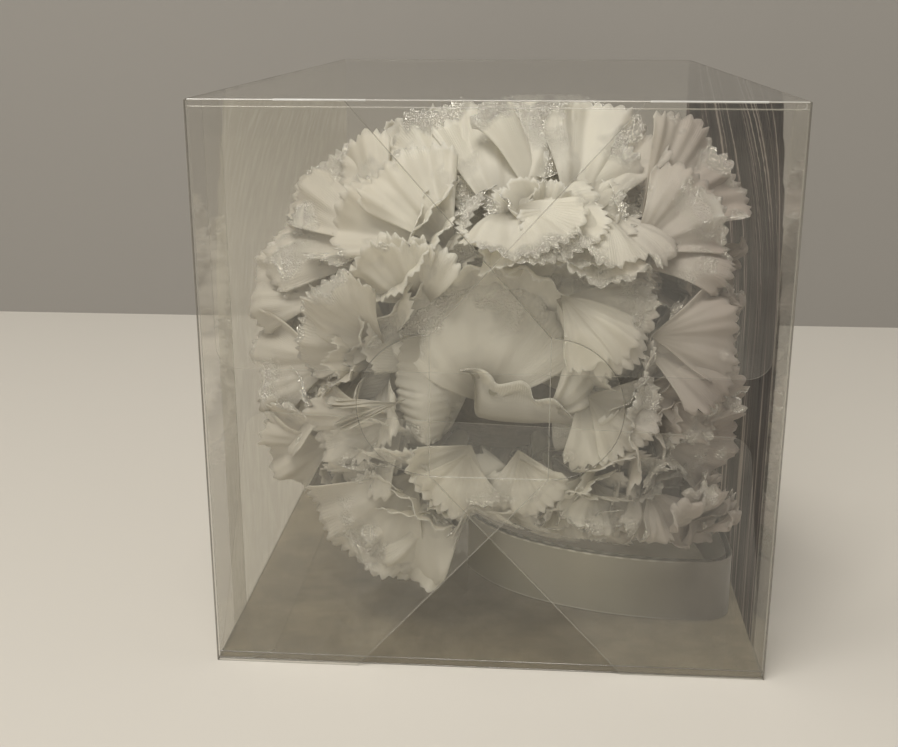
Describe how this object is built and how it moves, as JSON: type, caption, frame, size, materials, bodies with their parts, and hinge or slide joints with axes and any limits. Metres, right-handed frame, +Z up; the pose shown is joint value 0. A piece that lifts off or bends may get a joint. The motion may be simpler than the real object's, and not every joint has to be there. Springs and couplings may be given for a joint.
{
  "type": "clear film carton with carnation ball",
  "caption": "Clear plastic folding carton with lock flaps at one end and a tuck lid at the other, holding a ball of pinked fabric carnations with a satin ribbon loop.",
  "frame": {"origin": "middle of the base on the surface it rests on, halfway between the two ends", "axes": "+Z up, +Y from the locked front end to the lidded rear end, +X to the right seen from the front"},
  "size_m": [0.152, 0.254, 0.155],
  "materials": {
    "clear_film": "gloss, clear, lightly rippled",
    "petal_fabric": "off-white pinked fabric, heat-crimped",
    "satin_ribbon": "off-white satin with a corded edge",
    "calyx_plastic": "moulded, matte",
    "floral_foam": "dry foam",
    "pin_steel": "plain wire",
    "pearl_bead": "pearl"
  },
  "bodies": {
    "carton": {"base_panel": "clear_film", "top_panel": "clear_film", "left_side_panel": "clear_film", "right_side_panel": "clear_film", "glue_seam_tab": "clear_film", "left_corner_tab": "clear_film", "right_corner_tab": "clear_film", "front_top_flap": "clear_film", "front_bottom_flap": "clear_film"},
    "front_left_lock": {"front_left_flap": "clear_film"},
    "left_tongue": {"front_left_tongue": "clear_film"},
    "front_right_lock": {"front_right_flap": "clear_film"},
    "rear_lid_body": {"rear_lid": "clear_film"},
    "rear_tuck": {"tuck_flap": "clear_film"},
    "rear_left_dust": {"rear_left_dust_flap": "clear_film"},
    "rear_right_dust": {"rear_right_dust_flap": "clear_film"},
    "carnation_ball": {"carnation_back_left_calyx": "calyx_plastic", "carnation_back_left_petals": "petal_fabric", "carnation_back_low_left_calyx": "calyx_plastic", "carnation_back_low_left_petals": "petal_fabric", "carnation_back_low_right_calyx": "calyx_plastic", "carnation_back_low_right_petals": "petal_fabric", "carnation_back_mid_calyx": "calyx_plastic", "carnation_back_mid_petals": "petal_fabric", "carnation_back_upper_left_calyx": "calyx_plastic", "carnation_back_upper_left_petals": "petal_fabric", "carnation_back_upper_right_calyx": "calyx_plastic", "carnation_back_upper_right_petals": "petal_fabric", "carnation_front_low_left_calyx": "calyx_plastic", "carnation_front_low_left_petals": "petal_fabric", "carnation_front_low_right_calyx": "calyx_plastic", "carnation_front_low_right_petals": "petal_fabric", "carnation_front_mid_calyx": "calyx_plastic", "carnation_front_mid_petals": "petal_fabric", "carnation_front_upper_calyx": "calyx_plastic", "carnation_front_upper_petals": "petal_fabric", "carnation_left_back_calyx": "calyx_plastic", "carnation_left_back_petals": "petal_fabric", "carnation_left_mid_calyx": "calyx_plastic", "carnation_left_mid_petals": "petal_fabric", "carnation_low_left_calyx": "calyx_plastic", "carnation_low_left_petals": "petal_fabric", "carnation_low_right_calyx": "calyx_plastic", "carnation_low_right_petals": "petal_fabric", "carnation_right_back_calyx": "calyx_plastic", "carnation_right_back_petals": "petal_fabric", "carnation_right_mid_calyx": "calyx_plastic", "carnation_right_mid_petals": "petal_fabric", "carnation_top_calyx": "calyx_plastic", "carnation_top_petals": "petal_fabric", "carnation_upper_left_calyx": "calyx_plastic", "carnation_upper_left_petals": "petal_fabric", "carnation_upper_right_calyx": "calyx_plastic", "carnation_upper_right_petals": "petal_fabric", "floral_pin": "pin_steel", "foam_core": "floral_foam", "petal_pin": "pearl_bead", "ribbon_loop": "satin_ribbon"}
  },
  "joints": [
    {"name": "front_left_flap_hinge", "type": "hinge", "parent": "carton", "child": "front_left_lock", "pos_m": [-0.07585, -0.12685, 0.0766], "axis": [0, 0, -1], "range_deg": [0, 180]},
    {"name": "left_tongue_crease", "type": "hinge", "parent": "front_left_lock", "child": "left_tongue", "pos_m": [0.0157, -0.12685, 0.0766], "axis": [0, 0, -1], "range_deg": [0, 90]},
    {"name": "front_right_flap_hinge", "type": "hinge", "parent": "carton", "child": "front_right_lock", "pos_m": [0.07585, -0.1262, 0.0766], "axis": [0, 0, 1], "range_deg": [0, 60]},
    {"name": "rear_lid_hinge", "type": "hinge", "parent": "carton", "child": "rear_lid_body", "pos_m": [0, 0.12685, 0.15485], "axis": [1, 0, 0], "range_deg": [0, 180]},
    {"name": "tuck_flap_crease", "type": "hinge", "parent": "rear_lid_body", "child": "rear_tuck", "pos_m": [0, 0.12655, 0.0008], "axis": [-1, 0, 0], "range_deg": [0, 60]},
    {"name": "rear_left_dust_hinge", "type": "hinge", "parent": "carton", "child": "rear_left_dust", "pos_m": [-0.07555, 0.1262, 0.0775], "axis": [0, 0, -1], "range_deg": [0, 85]},
    {"name": "rear_right_dust_hinge", "type": "hinge", "parent": "carton", "child": "rear_right_dust", "pos_m": [0.07555, 0.1262, 0.0775], "axis": [0, 0, 1], "range_deg": [0, 85]},
    {"name": "ball_slide", "type": "slide", "parent": "carton", "child": "carnation_ball", "axis": [0, 1, 0], "range_m": [0, 0.04]}
  ],
  "couplings": [
    {"joint": "front_right_flap_hinge", "follows": "front_left_flap_hinge", "ratio": 0.33333}
  ]
}
